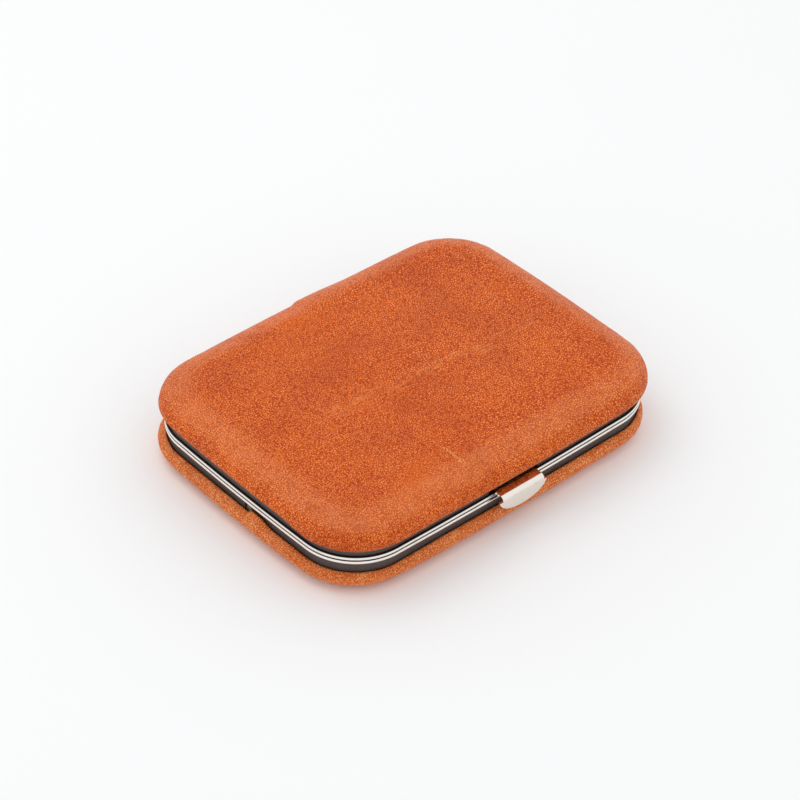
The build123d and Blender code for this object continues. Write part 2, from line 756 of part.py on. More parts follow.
def cuticle_pusher():
    """Round rod with a spade at one end and a point at the other."""
    y, z = tool_rows[2], inside_floor + seat_gap + pusher_radius
    x0, x1 = -pusher_length / 2, pusher_length / 2
    point, full, slim = pusher_point_taper
    waist, throat, narrow = pusher_neck
    profile = Polyline(
        (x0, 0),
        (x0, pusher_point),
        (x0 + point, pusher_radius * slim),
        (x0 + full, pusher_radius),
        (x1 - waist, pusher_radius),
        (x1 - throat, pusher_radius * narrow),
        (x1 - pusher_neck_end, pusher_neck_radius),
        (x1 - pusher_neck_end, 0),
        close=True,
    )
    rod = revolve(make_face(profile), axis=Axis.X, revolution_arc=360)
    wide = pusher_spade_width
    spade = Pos(x1 - pusher_spade_half, 0) * Ellipse(pusher_spade_half, wide / 2)
    spade = extrude(spade, amount=pusher_spade_thick / 2, both=True)
    spade = spade & block(x1 - 2 * pusher_spade_half, x1 - pusher_spade_cut, -wide, wide, -wide, wide)
    return Pos(0, y, z) * (rod + spade)


# ---------------------------------------------------------------- assembly
def make_case():
    """Every node by name."""
    parts = {}
    for name, shape in half_case(base_height, base_edge_round).items():
        parts["base_" + name] = shape
    for name, shape in half_case(lid_height, lid_edge_round).items():
        parts["lid_" + name] = lid_place(shape)

    relief = hinge_relief()
    parts["base_rim"] -= relief
    parts["lid_rim"] -= relief
    outer_window = clasp_window(clasp_window_top)
    inner_window = clasp_window(clasp_window_inner_top)
    parts["lid_channel"] -= outer_window
    parts["base_channel"] -= channel_butt()
    bracket_level = base_height + bracket_rivet_level
    for name in ("lid_shell", "lid_lining"):
        parts[name] -= inner_window
        for hole in rivet_holes(bracket_rivet_x, bracket_level):
            parts[name] -= hole
    for name in ("base_shell", "base_lining"):
        for hole in rivet_holes(catch_rivet_x, catch_rivet_level()):
            parts[name] -= hole

    parts["base_hinge_leaf"] = hinge_leaf(-1)
    parts["lid_hinge_leaf"] = hinge_leaf(1)
    parts["hinge_pin"] = hinge_pin()
    parts["clasp_tab"] = clasp_tab()
    parts["clasp_bracket"] = clasp_bracket()
    parts["clasp_pin"] = clasp_pin()
    parts["clasp_spring"] = clasp_spring()
    seat_y = wall_seat(bracket_half) + bracket_sheet + spring_sheet
    parts["clasp_rivets"] = rivet_pair(bracket_rivet_x, bracket_level, seat_y)
    parts["catch_plate"] = catch_plate()
    seat_y = wall_seat(catch_half) + catch_sheet
    parts["catch_rivets"] = rivet_pair(catch_rivet_x, catch_rivet_level(), seat_y)

    parts["scissors_lower_half"] = scissors_half(False)
    parts["scissors_upper_half"] = scissors_half(True)
    parts["scissors_screw"] = scissors_screw()
    blade_top = scissors_level(True) + blade_thick
    middle = scissors_pivot[1]
    blades = (middle - blade_root_width / 2 - blade_sweep_room, middle + blade_root_width / 2, blade_top)
    band, studs = strap([blades], scissors_pivot[0] + base_strap_offset)
    parts["base_strap"] = band
    parts["base_strap_studs"] = strap_studs(studs, scissors_pivot[0] + base_strap_offset)

    parts["nail_file"] = lid_place(nail_file())
    parts["nail_file_handle"] = lid_place(file_handle())
    parts["tweezers"] = lid_place(tweezers())
    parts["cuticle_pusher"] = lid_place(cuticle_pusher())
    rest = inside_floor + seat_gap
    file_top = rest + (file_handle_thick + file_thick) / 2
    humps = [
        (tool_rows[0] - file_width / 2, tool_rows[0] + file_width / 2, file_top),
        (tool_rows[1] - tweezers_width / 2, tool_rows[1] + tweezers_width / 2, rest + tweezers_height),
        (tool_rows[2] - pusher_radius, tool_rows[2] + pusher_radius, rest + 2 * pusher_radius),
    ]
    band, studs = strap(humps, lid_strap_place)
    parts["lid_strap"] = lid_place(band)
    parts["lid_strap_studs"] = lid_place(strap_studs(studs, lid_strap_place))
    return parts


if __name__ == "__main__":
    os.makedirs("parts", exist_ok=True)
    for name, shape in make_case().items():
        export_step(shape, f"parts/{name}.step")
        print(name, len(shape.solids()), round(sum(s.volume for s in shape.solids()), 2))
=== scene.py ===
"""Leather covered manicure case: looks, floor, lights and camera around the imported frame."""
from math import atan2, cos, floor, hypot, pi, radians, sin, sqrt
import bmesh
import bpy
from mathutils import Matrix, Vector, noise


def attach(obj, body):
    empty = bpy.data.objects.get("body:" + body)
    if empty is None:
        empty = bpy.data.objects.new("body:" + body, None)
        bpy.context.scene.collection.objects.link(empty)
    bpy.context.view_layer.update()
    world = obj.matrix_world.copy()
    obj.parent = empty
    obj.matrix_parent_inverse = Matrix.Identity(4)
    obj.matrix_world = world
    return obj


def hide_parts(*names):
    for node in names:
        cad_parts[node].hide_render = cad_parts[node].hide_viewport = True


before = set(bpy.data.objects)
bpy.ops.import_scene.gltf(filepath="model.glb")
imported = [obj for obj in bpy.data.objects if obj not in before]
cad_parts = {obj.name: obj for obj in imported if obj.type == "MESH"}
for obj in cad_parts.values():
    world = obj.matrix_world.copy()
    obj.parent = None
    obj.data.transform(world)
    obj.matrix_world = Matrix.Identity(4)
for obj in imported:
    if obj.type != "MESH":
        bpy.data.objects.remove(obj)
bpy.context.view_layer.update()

MM = 0.001

# ------------------------------------------------------------------ sizes of the case, in millimetres
HALF_LENGTH, HALF_WIDTH = 52.5, 40.0
LONG_ARC, SHORT_ARC, CORNER_ARC = 1600.0, 750.0, 16.6
PARTING = 9.4
HIDE_THICK, SUEDE_THICK, PAD_THICK = 0.9, 0.62, 0.55
# pad: in from the outline, clear of the leather's inside, above the widest line
PAD_INSET, PAD_ROOM, PAD_RISE = 1.15, 0.35, 0.3
# lining: its wall's inset, its floor below the face, its rounding, its free edge off the parting plane
TRAY_WALL, TRAY_FLOOR, TRAY_ROUND, RIM_FOOT = 4.2, 3.65, 1.65, 1.05
# clasp's window in the lid's lining, and the row of faces' level above it
WINDOW_HALF, WINDOW_TOP, WINDOW_ROW = 7.7, 4.0, 4.9
# sewn channel in the lining's floor, as inset and dip
SEAM_INSET = 8.0
SEAM = [(7.3, 0), (7.62, 0.14), (SEAM_INSET, 0.22), (8.38, 0.14), (8.7, 0)]
# inset of a face's flat middle, and how near two points become one
PLATEAU, WELD = 14.0, 0.001

LONG_Y, SHORT_X = HALF_WIDTH - LONG_ARC, HALF_LENGTH - SHORT_ARC


class Half:
    """Lid or base: depth, insets of its shoulder and turned edge, levels of that edge and the widest line."""

    def __init__(self, name, depth, shoulder, inset, hem, belly):
        self.name, self.depth, self.shoulder = name, depth, shoulder
        self.inset, self.hem, self.belly = inset, hem, belly


LID = Half("lid", depth=11.0, shoulder=8.0, inset=1.95, hem=3.1, belly=4.9)
BASE = Half("base", depth=9.4, shoulder=6.8, inset=1.65, hem=3.35, belly=5.2)


def corner_middle():
    """Centre of the corner arc that runs smoothly into a long and a short side."""
    to_long, to_short = LONG_ARC - CORNER_ARC, SHORT_ARC - CORNER_ARC
    span = hypot(SHORT_X, LONG_Y)
    along = (to_long**2 - to_short**2 + span**2) / (2 * span)
    across = sqrt(to_long**2 - along**2)
    ux, uy = SHORT_X / span, -LONG_Y / span
    places = [(along * ux + side * across * uy, LONG_Y + along * uy - side * across * ux) for side in (-1, 1)]
    return max(places, key=sum)


CORNER_X, CORNER_Y = corner_middle()
LONG_TURN = atan2(CORNER_X, CORNER_Y - LONG_Y)
SHORT_TURN = atan2(CORNER_Y, CORNER_X - SHORT_X)
CORNER_TURN = pi / 2 - LONG_TURN - SHORT_TURN
LONG_RUN, CORNER_RUN, SHORT_RUN = LONG_ARC * LONG_TURN, CORNER_ARC * CORNER_TURN, SHORT_ARC * SHORT_TURN
QUARTER_RUN = LONG_RUN + CORNER_RUN + SHORT_RUN


def outline_place(x, y):
    """How far along its quarter of the outline a point lies, and how far outside it."""
    x, y = abs(x), abs(y)
    turn = atan2(x, y - LONG_Y)
    if turn < LONG_TURN:
        return LONG_ARC * turn, hypot(x, y - LONG_Y) - LONG_ARC
    turn = atan2(y, x - SHORT_X)
    if turn < SHORT_TURN:
        return QUARTER_RUN - SHORT_ARC * turn, hypot(x - SHORT_X, y) - SHORT_ARC
    turn = atan2(x - CORNER_X, y - CORNER_Y) - LONG_TURN
    return LONG_RUN + CORNER_ARC * turn, hypot(x - CORNER_X, y - CORNER_Y) - CORNER_ARC


def outline_point(run, out):
    """Point of the first quarter of the outline, moved out, and its heading."""
    if run < LONG_RUN:
        turn = run / LONG_ARC
        return (LONG_ARC + out) * sin(turn), LONG_Y + (LONG_ARC + out) * cos(turn), turn
    if run > LONG_RUN + CORNER_RUN:
        turn = pi / 2 - (QUARTER_RUN - run) / SHORT_ARC
        return SHORT_X + (SHORT_ARC + out) * sin(turn), (SHORT_ARC + out) * cos(turn), turn
    turn = LONG_TURN + (run - LONG_RUN) / CORNER_ARC
    return CORNER_X + (CORNER_ARC + out) * sin(turn), CORNER_Y + (CORNER_ARC + out) * cos(turn), turn


def run_round(x, y, run):
    """Distance round the whole outline from the middle of the back, clockwise."""
    if x >= 0:
        return run if y >= 0 else 2 * QUARTER_RUN - run
    return 4 * QUARTER_RUN - run if y >= 0 else 2 * QUARTER_RUN + run


def ease(value, low, high):
    """0 below low, 1 above high and smooth between; low may be above high."""
    share = min(max((value - low) / (high - low), 0.0), 1.0)
    return share * share * (3 - 2 * share)


# ------------------------------------------------------------------ mesh work
def bend(bm, end, centre, squash, steps):
    """Carries a profile on from its end round a quarter of an oval; gives the new end."""
    before = set(bm.verts)
    middle = (0, HALF_WIDTH - centre[0], centre[1])
    bmesh.ops.spin(bm, geom=[end], cent=middle, axis=(1, 0, 0), angle=pi / 2, steps=steps)
    fresh = [v for v in bm.verts if v not in before] + [end]
    bmesh.ops.scale(bm, vec=(1, 1, squash), verts=fresh, space=Matrix.Translation(-Vector(middle)))
    return max(fresh, key=lambda v: v.co.z)


def carry(bm, end, points):
    """Carries a profile on from its end through points given as inset and level."""
    for inset, level in points:
        fresh = bmesh.ops.extrude_vert_indiv(bm, verts=[end])["verts"][0]
        fresh.co = (0, HALF_WIDTH - inset, level)
        end = fresh
    return end


def sweep_round(bm, steps, window=None):
    """Sweeps a profile at the middle of the back round the whole outline."""
    long_turns = [LONG_TURN] if window is None else [window / LONG_ARC, LONG_TURN - window / LONG_ARC]
    arcs = [((0, LONG_Y, 0), turn, max(2, round(steps[0] * turn / LONG_TURN))) for turn in long_turns]
    arcs += [((CORNER_X, CORNER_Y, 0), CORNER_TURN, steps[1]), ((SHORT_X, 0, 0), SHORT_TURN, steps[2])]
    line = bm.verts[:] + bm.edges[:]
    for centre, turn, count in arcs:
        made = bmesh.ops.spin(bm, geom=line, cent=centre, axis=(0, 0, -1), angle=turn, steps=count)
        line = made["geom_last"]
    for axis in ("X", "Y"):
        everything = bm.verts[:] + bm.edges[:] + bm.faces[:]
        bmesh.ops.mirror(bm, geom=everything, axis=axis, merge_dist=WELD)
    bmesh.ops.remove_doubles(bm, verts=bm.verts, dist=WELD)


def close_middle(bm, level, rows):
    """Closes the opening at the plateau, row by row onto a line along the case."""
    spine = HALF_LENGTH - HALF_WIDTH
    ring = [e for e in bm.edges if e.is_boundary and abs(e.verts[0].co.z - level) < 0.01]
    goal = {}
    for v in {v for e in ring for v in e.verts}:
        share = v.co.x / CORNER_X
        goal[v] = (v.co.copy(), Vector((spine * min(max(share, -1), 1), 0, level)))
    for row in range(1, rows + 1):
        made = bmesh.ops.extrude_edge_only(bm, edges=ring)["geom"]
        ring = [g for g in made if isinstance(g, bmesh.types.BMEdge)]
        fresh = {g for g in made if isinstance(g, bmesh.types.BMVert)}
        for v in fresh:
            goal[v] = next(goal[e.other_vert(v)] for e in v.link_edges if e.other_vert(v) not in fresh)
            v.co = goal[v][0].lerp(goal[v][1], row / rows)
    bmesh.ops.remove_doubles(bm, verts=bm.verts, dist=WELD)


def thicken(bm, thickness):
    """Gives an open skin its wall, after its faces all point out."""
    bmesh.ops.recalc_face_normals(bm, faces=bm.faces)
    bmesh.ops.solidify(bm, geom=bm.faces[:], thickness=thickness)


def set_half(bm, half):
    """Sets a half that was made upright from the parting plane into the lid or base."""
    if half is BASE:
        bmesh.ops.scale(bm, vec=(1, 1, -1), verts=bm.verts)
        bmesh.ops.reverse_faces(bm, faces=bm.faces)
    bmesh.ops.translate(bm, vec=(0, 0, PARTING), verts=bm.verts)


def lay_grain(bm):
    """UV map that runs along the outline and across the edge, in centimetres."""
    layer = bm.loops.layers.uv.new("lie")
    for face in bm.faces:
        middle = face.calc_center_median()
        for loop in face.loops:
            spot = loop.vert.co
            run, out = outline_place(spot.x, spot.y)
            run = run_round(middle.x, middle.y, run)
            loop[layer].uv = (run / 10, (1.5 * abs(spot.z - PARTING) - out) / 10)


def make_piece(name, bm, body, finish, stands_for=()):
    """Finished mesh in millimetres becomes a piece of the object."""
    bmesh.ops.scale(bm, vec=(MM, MM, MM), verts=bm.verts)
    mesh = bpy.data.meshes.new(name)
    bm.to_mesh(mesh)
    bm.free()
    mesh.polygons.foreach_set("use_smooth", [True] * len(mesh.polygons))
    mesh.materials.append(finish)
    made = bpy.data.objects.new(name, mesh)
    bpy.context.scene.collection.objects.link(made)
    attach(made, body)
    if stands_for:
        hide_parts(*stands_for)
    return made


# ------------------------------------------------------------------ finishes
class Wire:
    """One socket of a finish or the world; sums and products of wires add their own Math nodes."""

    def __init__(self, tree, socket=None):
        self.tree, self.socket = tree, socket

    def node(self, kind, settings=None, values=None, out=0):
        """Adds a node, its settings first, then its sockets; gives its output."""
        made = self.tree.nodes.new("ShaderNode" + kind)
        for name, value in (settings or {}).items():
            if name == "stops":
                marks = made.color_ramp.elements
                while len(marks) < len(value):
                    marks.new(1.0)
                for mark, (place, colour) in zip(marks, value):
                    mark.position, mark.color = place, (*colour, 1)
            else:
                setattr(made, name, value)
        for name, value in (values or {}).items():
            if isinstance(value, Wire):
                self.tree.links.new(value.socket, made.inputs[name])
            else:
                made.inputs[name].default_value = value
        return Wire(self.tree, made.outputs[out])

    def math(self, operation, first, second):
        return self.node("Math", {"operation": operation}, {0: first, 1: second})

    def __add__(self, other):
        return self.math("ADD", self, other)

    def __sub__(self, other):
        return self.math("SUBTRACT", self, other)

    def __rsub__(self, other):
        return self.math("SUBTRACT", other, self)

    def __mul__(self, other):
        return self.math("MULTIPLY", self, other)

    def __abs__(self):
        return self.node("Math", {"operation": "ABSOLUTE"}, {0: self})

    __radd__, __rmul__ = __add__, __mul__

    def step(self, low, high):
        """0 below low, 1 above high and smooth between; low may be above high."""
        if low > high:
            return 1 - self.step(high, low)
        settings = {"interpolation_type": "SMOOTHSTEP"}
        return self.node("MapRange", settings, {"Value": self, "From Min": low, "From Max": high})

    def mix(self, first, second):
        """Colour that goes from first to second as this value goes from 0 to 1."""
        ends = [c if isinstance(c, Wire) else (*c, 1) for c in (first, second)]
        return self.node("Mix", {"data_type": "RGBA"}, {0: self, 6: ends[0], 7: ends[1]}, out=2)

    def noise(self, scale, detail=2.0, rough=0.5, warp=0.0):
        values = {"Vector": self, "Scale": scale, "Detail": detail, "Roughness": rough, "Distortion": warp}
        return self.node("TexNoise", None, values)

    def stretched(self, scale, turn=0.0):
        """These coordinates turned about Z and then scaled."""
        values = {"Vector": self, "Angle": radians(turn)}
        turned = self.node("VectorRotate", {"rotation_type": "Z_AXIS"}, values)
        return self.node("VectorMath", {"operation": "MULTIPLY"}, {0: turned, 1: scale})

    def part(self, axis):
        return self.node("SeparateXYZ", None, {0: self}, out="XYZ".index(axis))

    def cells(self, scale, feature="DISTANCE_TO_EDGE"):
        return self.node("TexVoronoi", {"feature": feature}, {"Vector": self, "Scale": scale})


def rgb(red, green, blue):
    """Colour as it is read off a screen, made linear."""
    shares = [value / 255 for value in (red, green, blue)]
    return tuple(c / 12.92 if c <= 0.04 else ((c + 0.055) / 1.055) ** 2.4 for c in shares)


def new_finish(name):
    """Bare finish: its shader node and the place on the piece, in millimetres."""
    made = bpy.data.materials.new(name)
    made.use_nodes = True
    tree = made.node_tree
    wire = Wire(tree)
    place = wire.node("TexCoord", out=3)
    place = wire.node("VectorMath", {"operation": "SCALE"}, {0: place, "Scale": 1 / MM})
    return made, tree.nodes["Principled BSDF"], place


def dress(shader, place, colour, roughness, height, depth, strength=1.0, **fixed):
    """Wires a finish's colour, roughness and relief; depth is the relief's height in millimetres."""
    links = shader.id_data.links
    links.new(colour.socket, shader.inputs["Base Color"])
    links.new(roughness.socket, shader.inputs["Roughness"])
    relief = {"Strength": strength, "Distance": depth * MM, "Height": height}
    links.new(place.node("Bump", None, relief).socket, shader.inputs["Normal"])
    for name, value in fixed.items():
        shader.inputs[name.replace("_", " ")].default_value = value


def cognac_leather(name, marked):
    """Waxed calf leather: pebbled grain, pulled folds at the edges, and shoulders paler all round, partly
    worn and partly a painted sheen.

    The marked hide has a crease and a scar; the other hide's shades are lighter, partly its own paler tone
    and partly painted light on the base's less lit sides.
    """
    made, shader, place = new_finish(name)
    lie = place.node("UVMap", {"uv_map": "lie"})
    across = lie.part("Y") * 10
    x, y = place.part("X"), place.part("Y")
    drift = place.noise(0.11, 2).step(0.35, 0.65)
    left = (x + drift * 14).step(14, -22)
    pebbles = place.stretched((1.0, 0.92, 0.9), 35).cells(1.75).step(0.03, 0.3)
    strokes = place.stretched((1.45, 0.85, 1.0), -6).cells(1.75).step(0.03, 0.3)
    fine = place.stretched((1.0, 1.15, 1.0), 20).cells(2.6).step(0.03, 0.3)
    speck = place.noise(2.8, 1, 0.5)
    grain = pebbles * (0.45 - 0.35 * left) + strokes * (0.1 + 0.35 * left) + fine * 0.3 + speck * 0.3

    shoulder = across.step(26.5, 21) * across.step(11.0, 17.0)
    edge = across.step(23.5, 14.0)
    pulled = lie.stretched((12.0, 0.5, 1.0)).noise(1.0, 2, 0.5, 0.4).step(0.35, 0.68) * edge
    rolled = lie.stretched((1.1, 9.0, 1.0)).noise(1.0, 2, 0.6, 0.6).step(0.5, 0.72) * across.step(14, 9)
    blotch = place.noise(0.055, 3, 0.55)
    cloud = place.noise(0.2, 3, 0.6)

    tone = (grain * 1.3 + (cloud - 0.5) * 0.1 + (pulled - 0.3 * edge) * 0.12 + rolled * 0.2).step(0.1, 1.1)
    # the unmarked shades are lighter throughout: partly the hide's own paler tone, partly painted light
    shades = [(154, 38, 0), (194, 75, 0), (224, 104, 14), (250, 144, 76)] if marked else [
        (190, 78, 14), (216, 106, 38), (238, 134, 66), (255, 180, 122)]
    # the last stop of each list is partly the ridges' own paler colour, partly a painted highlight on them
    stops = [(at, rgb(*shade)) for at, shade in zip((0.0, 0.35, 0.7, 1.0), shades)]
    colour = place.node("ValToRGB", {"stops": stops}, {"Fac": tone})
    colour = (blotch.step(0.56, 0.34) * 0.22).mix(colour, rgb(*shades[0]))
    colour = (blotch.step(0.54, 0.72) * 0.25).mix(colour, rgb(*shades[2]))
    # shoulders paler all round: partly wear, partly a painted sheen
    wear_and_sheen = shoulder * (0.5 + 0.5 * cloud.step(0.3, 0.68)) * (0.6 + 0.5 * grain)
    colour = (wear_and_sheen * 0.36).mix(colour, rgb(240, 150, 98))
    # darker on the turned edge, where the leather curls under toward the rim: painted shade
    hem = across.step(9.9, 7.4)
    colour = (hem * 0.15).mix(colour, rgb(140, 52, 10))
    height = grain * 0.8 + pulled * 1.1 + cloud * 0.4 + rolled

    if marked:
        wander = place.noise(0.09, 2).step(0.2, 0.8) * 2 - 1
        band = y + 3.9 + x * 0.09 + wander
        crease = abs(band).step(3.0, 0.8) * x.step(-34, -20) * x.step(42, 30)
        lines = place.stretched((0.2, 1.9, 1.0), 5).noise(1.0, 1, 0.5).step(0.52, 0.62)
        ticks = place.stretched((1.5, 0.5, 1.0), 28).noise(1.6, 2, 0.6).step(0.52, 0.64)
        ridge = (lines * 0.7 + ticks * 0.3) * crease
        colour = (ridge * 0.42).mix(colour, rgb(248, 154, 84))
        curve = (y + 30) * (y + 30) * 0.035
        scar = abs(x + 12.4 + curve + (speck - 0.5) * 0.8).step(0.62, 0.1)
        scar = scar * y.step(-35, -32.6) * y.step(-25.2, -27.6)
        colour = (scar * (0.1 + 0.6 * strokes)).mix(colour, rgb(240, 168, 100))
        height = height + ridge * 0.7 - scar * 0.5

    roughness = 0.5 - grain * 0.1 - wear_and_sheen * 0.08 + cloud * 0.06
    dress(shader, place, colour, roughness, height, 0.11, 0.75, Specular_IOR_Level=0.18)
    return made


def bright_plate(name, colour, tarnish, wear):
    """Polished nickel plating with faint wipe marks and duller patches."""
    made, shader, place = new_finish(name)
    cloud = place.noise(0.45, 3, 0.6)
    wipes = place.stretched((0.35, 3.2, 3.2), 18).noise(2.2, 2, 0.6)
    pits = place.noise(6.5, 2, 0.7).step(0.68, 0.78)
    dull = (cloud.step(0.52, 0.75) * 0.35 + pits * 0.5) * wear
    paint = dull.mix(colour, tarnish)
    roughness = 0.06 + 0.1 * cloud + 0.1 * dull + 0.05 * wipes
    dress(shader, place, paint, roughness, wipes + cloud * 2 - pits, 0.012, 0.5, Metallic=1.0)
    return made


def bead_plate():
    """Rim plating, bright on the crown of the bead; its ledges keep their dark lacquer, and the same dark on
    its meeting faces is painted shade in the gap between the rims.
    """
    made, shader, place = new_finish("bead_plate")
    level = abs(place.part("Z") - PARTING)
    cloud = place.noise(0.35, 3, 0.6)
    wipes = place.stretched((0.35, 3.2, 3.2), 18).noise(2.2, 2, 0.6)
    # dark below the crown, on the meeting faces, is painted shade in the gap; dark above it, on the ledge, is
    # lacquer
    crown = level.step(0.13, 0.27) * level.step(0.99, 0.85)
    bright = crown * (1 - 0.25 * cloud.step(0.55, 0.8))
    paint = bright.mix(rgb(62, 56, 54), rgb(246, 242, 236))
    roughness = 0.34 - 0.26 * crown + 0.1 * cloud
    dress(shader, place, paint, roughness, wipes + cloud * 2, 0.01, 0.5, Metallic=1.0)
    return made


def gunmetal():
    """Dark plated strip with a soft shine, rubbed paler in places."""
    made, shader, place = new_finish("gunmetal")
    cloud = place.noise(0.25, 3, 0.6)
    draw = place.stretched((0.5, 0.5, 7.0)).noise(1.6, 2, 0.6)
    rubbed = cloud.step(0.45, 0.75) * draw.step(0.45, 0.7)
    paint = (rubbed * 0.5).mix(rgb(82, 73, 70), rgb(118, 104, 98))
    roughness = 0.36 + 0.14 * cloud - 0.06 * rubbed
    dress(shader, place, paint, roughness, draw + cloud, 0.01, 0.5, Metallic=0.35, Specular_IOR_Level=0.5)
    return made


def brushed_steel(name, colour, crossed=False):
    """Satin steel brushed along the tool; crossed adds the cut of a nail file."""
    made, shader, place = new_finish(name)
    brush = place.stretched((0.25, 7.0, 7.0)).noise(1.8, 3, 0.65)
    cloud = place.noise(0.2, 3)
    paint = (brush * 0.5 + cloud * 0.5).step(0.25, 0.75).mix([c * 0.8 for c in colour], colour)
    height, depth = brush, 0.012
    if crossed:
        teeth = 1.0
        for turn in (32, -32):
            rows = place.stretched((1.0, 1.0, 1.0), turn)
            teeth = place.node("TexWave", {"bands_direction": "X"}, {"Vector": rows, "Scale": 0.72}) * teeth
        height, depth = teeth + brush * 0.15, 0.09
        # darker in the file's cuts: painted shade
        paint = teeth.step(0.05, 0.4).mix([c * 0.55 for c in colour], paint)
    roughness = 0.26 + 0.14 * brush + 0.08 * cloud
    dress(shader, place, paint, roughness, height, depth, 0.8, Metallic=1.0)
    return made


def suede():
    """Short napped suede with brushed lighter and darker areas."""
    made, shader, place = new_finish("suede")
    nap = place.noise(4.2, 3, 0.7)
    fibre = place.stretched((1.0, 2.6, 1.0), 40).noise(5.0, 2, 0.7)
    swept = place.stretched((0.6, 1.5, 1.0), 24).noise(0.09, 2, 0.5, 0.3).step(0.3, 0.72)
    tone = (nap * 0.6 + fibre * 0.45 + swept * 0.13).step(0.25, 0.95)
    stops = [(0.0, rgb(126, 80, 50)), (0.5, rgb(156, 106, 70)), (1.0, rgb(184, 134, 94))]
    paint = place.node("ValToRGB", {"stops": stops}, {"Fac": tone})
    dress(shader, place, paint, 0.86 + nap * 0.1, nap + fibre, 0.12, 0.9, Specular_IOR_Level=0.2,
          Sheen_Weight=0.35, Sheen_Roughness=0.5)
    return made


def strap_leather():
    """Darker bridle leather with a fine grain."""
    made, shader, place = new_finish("strap_leather")
    grain = place.cells(2.3).step(0.02, 0.3)
    cloud = place.noise(0.35, 3, 0.6)
    stops = [(0.0, rgb(98, 40, 18)), (0.6, rgb(136, 60, 28)), (1.0, rgb(164, 82, 42))]
    paint = place.node("ValToRGB", {"stops": stops}, {"Fac": grain * 0.45 + cloud * 0.6})
    dress(shader, place, paint, 0.56 - grain * 0.1, grain + cloud, 0.06, 0.8, Specular_IOR_Level=0.4)
    return made


def waxed_thread():
    """Waxed linen thread with its twist."""
    made, shader, place = new_finish("waxed_thread")
    twist = place.node("TexWave", {"bands_direction": "DIAGONAL"}, {"Vector": place, "Scale": 1.9})
    fuzz = place.noise(6.0, 2)
    # darker in the twist's grooves: painted shade
    paint = (twist * 0.7 + fuzz * 0.3).mix(rgb(196, 172, 138), rgb(232, 214, 184))
    dress(shader, place, paint, 0.6 + fuzz * 0.15, twist + fuzz * 0.4, 0.05, 0.8)
    return made


def pressed_board():
    """Grey brown fibreboard with visible fibres."""
    made, shader, place = new_finish("pressed_board")
    fibre = place.stretched((0.8, 3.0, 2.0), 20).noise(2.2, 3, 0.7)
    fleck = place.noise(1.3, 2).step(0.62, 0.7)
    board = fibre.mix(rgb(138, 116, 90), rgb(184, 160, 130))
    paint = (fleck * 0.6).mix(board, rgb(104, 84, 62))
    dress(shader, place, paint, 0.82 + fibre * 0.1, fibre, 0.04, 0.8)
    return made


def pad_foam():
    """Cream foam with open pores."""
    made, shader, place = new_finish("pad_foam")
    pores = place.cells(1.8, "F1")
    cloud = place.noise(0.2, 2)
    # darker in the pores' pits: painted shade
    paint = (pores * 0.7 + cloud * 0.3).mix(rgb(190, 178, 150), rgb(228, 220, 200))
    dress(shader, place, paint, 0.9 - cloud * 0.06, pores, 0.12, 0.8)
    return made


def black_handle():
    """Polished black handle with fine wipe marks."""
    made, shader, place = new_finish("black_handle")
    wipes = place.stretched((0.5, 4.0, 2.0), 12).noise(2.0, 2, 0.6)
    cloud = place.noise(0.3, 2)
    paint = (wipes * 0.6 + cloud * 0.4).step(0.35, 0.75).mix(rgb(22, 21, 22), rgb(46, 44, 45))
    dress(shader, place, paint, 0.16 + 0.12 * cloud, wipes, 0.008, 0.5)
    return made


# ------------------------------------------------------------------ leather covers
def folds(run, out, spot, seed):
    """How far the leather stands out from its even shape, in millimetres."""
    lift = 0.09 * noise.noise(spot / 17 + seed) + 0.05 * noise.noise(spot / 6.5 - seed)
    edge = ease(out, -9.5, -3.0)
    corner = ease(abs(run - LONG_RUN - CORNER_RUN / 2), CORNER_RUN, CORNER_RUN / 2)
    pull = noise.noise(Vector((run / 1.9, spot.z / 9, 3.0)) + seed)
    return lift + edge * (0.025 + 0.05 * corner) * pull


def lid_marks(spot):
    """Crown of the lid, its raised patch by the hinge, its crease and its scar."""
    out = outline_place(spot.x, spot.y)[1]
    crown = 0.3 * ease(out, -9, -34) - 0.2 * ease(out, -8.5, -5)
    lump = ease(spot.x, -3.4, -1.2) * ease(spot.x, 17, 0) * ease(spot.y, 29, 35) * ease(spot.z, 13, 17)
    wander = 2.2 * noise.noise(Vector((spot.x / 8, 4.0, 1.0)))
    crease = ease(abs(spot.y + 4.2 + wander), 2.6, 0.3) * ease(spot.x, -30, -18) * ease(spot.x, 40, 30)
    scar = ease(abs(spot.x + 12.4), 1.1, 0.2) * ease(abs(spot.y + 30), 4.6, 3)
    up = ease(spot.z, 17, 20)
    return crown * up + 0.5 * lump + (0.07 * crease - 0.05 * scar) * up


def base_marks(spot):
    """Small gathers of the base leather below its upper edge, which sits lower at the corners."""
    run = outline_place(spot.x, spot.y)[0]
    top = ease(spot.z, 3.6, 5.0)
    corner = ease(abs(run - LONG_RUN - CORNER_RUN / 2), CORNER_RUN, CORNER_RUN / 3)
    gather = noise.noise(Vector((run_round(spot.x, spot.y, run) / 1.7, 0.0, 7.0)))
    return top * (0.07 * gather - 0.3 * corner * ease(spot.z, 4.4, 5.8))


def settle(bm, half):
    """The lid's turned edge rides up along the left side; the base leather leans a little to the left."""
    for v in bm.verts:
        x, y, z = v.co
        if half is LID:
            v.co.z += 0.85 * ease(x, -44, -48) * ease(y, -25, -14) * ease(z, 15.6, 13.2)
        else:
            lean = (0.5 + 0.3 * ease(x, 40, 52)) * (1 - 0.9 * ease(x, -25, -40) * ease(y, -10, -30))
            v.co.x -= lean * ease(z, 6.1, 4.4)
            v.co.y += 0.45 * ease(x, -25, -40) * ease(y, -14, -30) * ease(z, 5.4, 3.0)


def reach_up(bm):
    """Lets the base leather bulge up to the rim in front of the gap in the channel."""
    for v in bm.verts:
        x, y, z = v.co
        if x < 0:
            near = ease(y, -3.3, -4.3) * ease(y, -12.5, -6.5)
            share = ease(z, 3.4, 6.3)
            v.co.z += 1.4 * near * share
            v.co.x -= 0.12 * near * share


